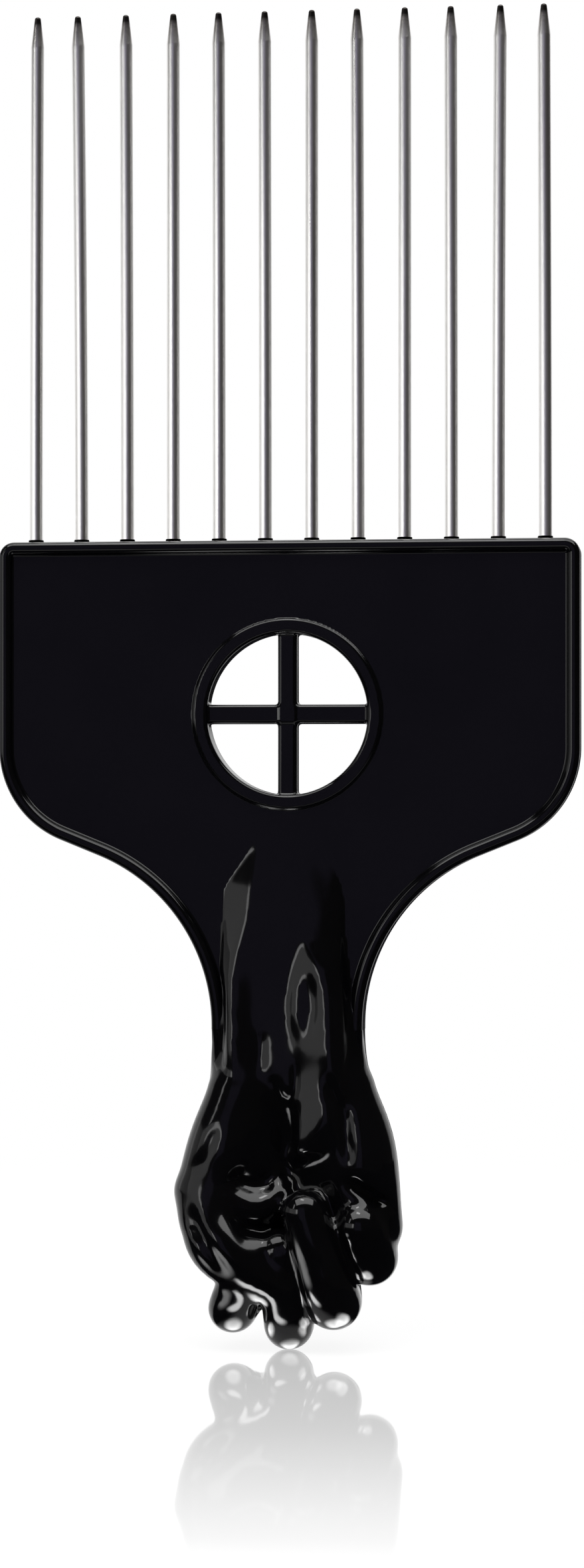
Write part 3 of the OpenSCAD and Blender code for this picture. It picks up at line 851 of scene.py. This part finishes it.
def floor_material():
    material = bpy.data.materials.new("white_floor")
    n = Nodes(material, "ShaderNodeOutputMaterial")
    path = n.add("ShaderNodeLightPath").outputs
    seen = n.calc("MAXIMUM", n.calc("MAXIMUM", path["Is Camera Ray"], path["Is Glossy Ray"]),
                  path["Is Transmission Ray"])
    place = n.add("ShaderNodeNewGeometry").outputs["Position"]
    far = n.length(place)
    # White to the eye, with a share of the object's shadow near the object
    matt = n.add("ShaderNodeBsdfDiffuse", Color=(0.86, 0.86, 0.86, 1))
    white = n.add("ShaderNodeEmission", Color=(1, 1, 1, 1), Strength=1.0)
    base = n.layered(n.calc("MULTIPLY", n.eased(far, *SHADOW_RANGE, SHADOW_WHITE, 1.0), seen),
                     matt, white)
    # The table's gloss shows at low angles only, and ends softly at its front edge
    facing = n.add("ShaderNodeLayerWeight", Blend=0.5).outputs["Facing"]
    mirror = n.add("ShaderNodeBsdfGlossy", Color=(1, 1, 1, 1), Roughness=0.04)
    ended = n.eased(n.axes(place)["Y"], FLOOR_FRONT, FLOOR_FRONT + GLOSS_END)
    top = n.layered(n.calc("MULTIPLY", n.ramp(facing, GLOSS), ended), base, mirror)
    # The studio is dark in front of the table, and the black plastic shows that
    # side and the gap behind dark right down to the table
    way = n.add("ShaderNodeVectorMath", operation="NORMALIZE")
    n.join(place, way.inputs[0])
    side = None
    for azimuth, full, none in DARK_SIDES:
        share = n.eased(n.dot(way.outputs[0], direction(azimuth)), math.cos(none), math.cos(full))
        side = share if side is None else n.calc("MAXIMUM", side, share)
    hidden = n.calc("MULTIPLY", side, n.eased(far, DARK_FROM, DARK_FULL))
    hidden = n.calc("MULTIPLY", hidden, path["Is Glossy Ray"])
    dark = n.add("ShaderNodeBsdfDiffuse", Color=(0.01, 0.01, 0.012, 1))
    room = n.layered(hidden, top, dark)
    glow = 0.0
    for x, y, reach_x, reach_y, radiance in POOLS:
        spot = n.add("ShaderNodeMapping", vector_type="TEXTURE")
        spot.inputs["Location"].default_value = (x * MM, y * MM, 0)
        spot.inputs["Scale"].default_value = (reach_x * MM, reach_y * MM, 1)
        n.join(place, spot.inputs["Vector"])
        off = n.length(spot.outputs[0])
        glow = n.calc("ADD", glow, n.eased(off, POOL_FULL, 1.0, radiance, 0.0))
    pools = n.add("ShaderNodeEmission", Color=(1, 1, 1, 1))
    n.join(n.calc("MULTIPLY", glow, path["Is Glossy Ray"]), pools.inputs["Strength"])
    both = n.add("ShaderNodeAddShader")
    n.join(room.outputs[0], both.inputs[0])
    n.join(pools.outputs[0], both.inputs[1])
    n.show(both)
    return material


bpy.ops.mesh.primitive_plane_add(size=FLOOR_SIZE, location=(0, FLOOR_SIZE / 2 + FLOOR_FRONT, 0))
floor = bpy.context.object
floor.name = "floor"
floor.data.materials.append(floor_material())


# The studio's colours: its dark, the bluish card and the gap behind the object
DIM, CARD, GAP = (0.03, 0.028, 0.025), (0.17, 0.155, 0.24), (0.02, 0.02, 0.02)
WHITE = (1.0, 1.0, 1.0)
# The card: its middle, and half its size to the start and the end of its soft
# edges, in azimuth and in elevation, in degrees
CARD_AZ, CARD_EL = (-7, 12, 17), (8, 18, 24)
# The white backdrop, the white floor and the dark gap straight behind the object,
# which keeps its edges black: azimuth, elevation, and half the size to the start
# and the end of the soft edges, in degrees
PATCHES = ((-167, 6, 58, 68, WHITE), (0, -90, 66, 71, WHITE), (180, -3.5, 9.5, 11.5, GAP))


def studio():
    """A dark studio with a dim bluish card by the camera and a white backdrop
    and floor. The camera sees white all round."""
    world = bpy.data.worlds.new("studio")
    n = Nodes(world, "ShaderNodeOutputWorld")
    way = n.add("ShaderNodeTexCoord").outputs["Generated"]
    axes = n.axes(way)
    azimuth = n.calc("ARCTAN2", axes["X"], n.calc("MULTIPLY", axes["Y"], -1.0))
    elevation = n.calc("ARCSINE", axes["Z"])

    def within(angle, middle, full, none):
        """1 while an angle is within full degrees of the middle, 0 beyond none."""
        off = n.calc("ABSOLUTE", n.calc("SUBTRACT", angle, math.radians(middle)))
        share = n.calc("DIVIDE", n.calc("SUBTRACT", math.radians(none), off),
                       math.radians(none - full))
        return n.calc("SMOOTH_MIN", 1.0, n.calc("MAXIMUM", 0.0, share), 0.2)

    def towards(azimuth, elevation, full, none):
        """1 within full degrees of a direction, 0 beyond none."""
        return n.eased(n.dot(way, direction(azimuth, elevation)),
                       math.cos(math.radians(none)), math.cos(math.radians(full)))

    card = n.calc("MULTIPLY", within(azimuth, *CARD_AZ), within(elevation, *CARD_EL))
    room = n.blend(card, DIM, CARD)
    for *where, colour in PATCHES:
        room = n.blend(towards(*where), room, colour)
    path = n.add("ShaderNodeLightPath").outputs
    seen = n.calc("MAXIMUM", path["Is Camera Ray"], path["Is Transmission Ray"])
    back = n.add("ShaderNodeBackground", Strength=1.0)
    n.join(n.blend(seen, room, WHITE), back.inputs["Color"])
    n.show(back)
    return world


bpy.context.scene.world = studio()

# The softboxes: azimuth and elevation in degrees, distance, width and height in
# metres, and radiance. All face the point MIDDLE.
MIDDLE = Vector((0, 0, 0.06))
SOFTBOXES = {
    "key": (-48, 7.5, 0.75, 0.55, 0.235, 1.3),
    "key_far": (-89, 7.5, 0.75, 0.58, 0.235, 0.6),
    "strip": (-52, 27, 0.6, 0.06, 0.2, 4),
    "edge": (-29, 8.5, 0.75, 0.1, 0.2, 4),
    "top": (10, 68, 0.8, 1.3, 0.55, 5),
    "spot": (-20, 72, 0.79, 0.2, 0.1, 12),
    "overhead": (180, 62, 0.9, 1.0, 0.7, 1.6),
}
for name, (azimuth, elevation, distance, width, height, radiance) in SOFTBOXES.items():
    way = Vector(direction(azimuth, elevation))
    light = bpy.data.lights.new(name, "AREA")
    light.shape = "RECTANGLE"
    light.size, light.size_y = width, height
    light.energy = radiance * math.pi * width * height
    lamp = bpy.data.objects.new(name, light)
    lamp.location = MIDDLE + way * distance
    lamp.rotation_euler = way.to_track_quat("Z", "Y").to_euler()
    lamp.visible_camera = False
    bpy.context.scene.collection.objects.link(lamp)

# The camera is level, and looks a little to the right of the object's middle
CAMERA_AZ, CAMERA_FAR, CAMERA_Z, AIM_X = 7, 0.42, 0.0695, 0.43 * MM
# The photo's height in pixels, and its pixels per mm at the object's middle plane
PHOTO_H, PHOTO_SCALE, SENSOR = 2359, 12.184, 36
camera_data = bpy.data.cameras.new("camera")
camera = bpy.data.objects.new("camera", camera_data)
bpy.context.scene.collection.objects.link(camera)
bpy.context.scene.camera = camera
camera_data.sensor_width = SENSOR
camera_data.lens = SENSOR * PHOTO_SCALE * CAMERA_FAR / MM / PHOTO_H
camera.location = Vector(direction(CAMERA_AZ)) * CAMERA_FAR + Vector((0, 0, CAMERA_Z))
aim = Vector((AIM_X, 0, CAMERA_Z)) - camera.location
camera.rotation_euler = aim.to_track_quat("-Z", "Y").to_euler()
camera_data.clip_start, camera_data.clip_end = 0.01, 20

bpy.context.scene.view_settings.view_transform = "Standard"
